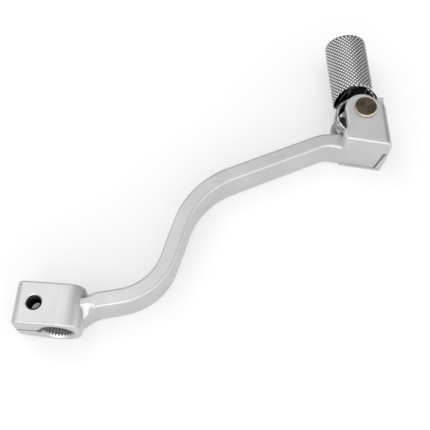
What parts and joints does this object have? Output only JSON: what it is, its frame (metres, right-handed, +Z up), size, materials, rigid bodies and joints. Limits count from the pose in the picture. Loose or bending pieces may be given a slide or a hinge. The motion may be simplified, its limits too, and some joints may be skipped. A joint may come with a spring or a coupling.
{
  "type": "motorcycle gear shift lever",
  "caption": "Bent forged alloy gear shift lever: a splined pinch clamp at one end, and a sprung, folding, knurled toe peg on a riveted pin in a clevis at the other.",
  "frame": {"origin": "on the splined bore's axis, at the middle of the clamp's width", "axes": "+X along the lever from the clamp towards the clevis, +Y outboard along the splined bore's axis, towards the toe peg's side, +Z up through the pinch bolt's tapped hole"},
  "size_m": [0.1321, 0.1327, 0.0228],
  "materials": {
    "forged_alloy": "tumbled satin",
    "plated_steel": "bright, knurled",
    "pin_steel": "dark, oil finish",
    "spring_steel": "drawn wire"
  },
  "bodies": {
    "lever": {"lever_arm": "forged_alloy", "pivot_pin": "pin_steel", "return_spring": "spring_steel"},
    "peg": {"toe_peg": "plated_steel"}
  },
  "joints": [
    {"name": "peg_fold", "type": "hinge", "parent": "lever", "child": "peg", "pos_m": [0.10672, 0.08622, 0.00215], "axis": [0, 0, 1], "range_deg": [0, 65], "stiffness_Nm_per_rad": 0.25, "springref_deg": -34.38, "deforming": ["return_spring"]}
  ]
}
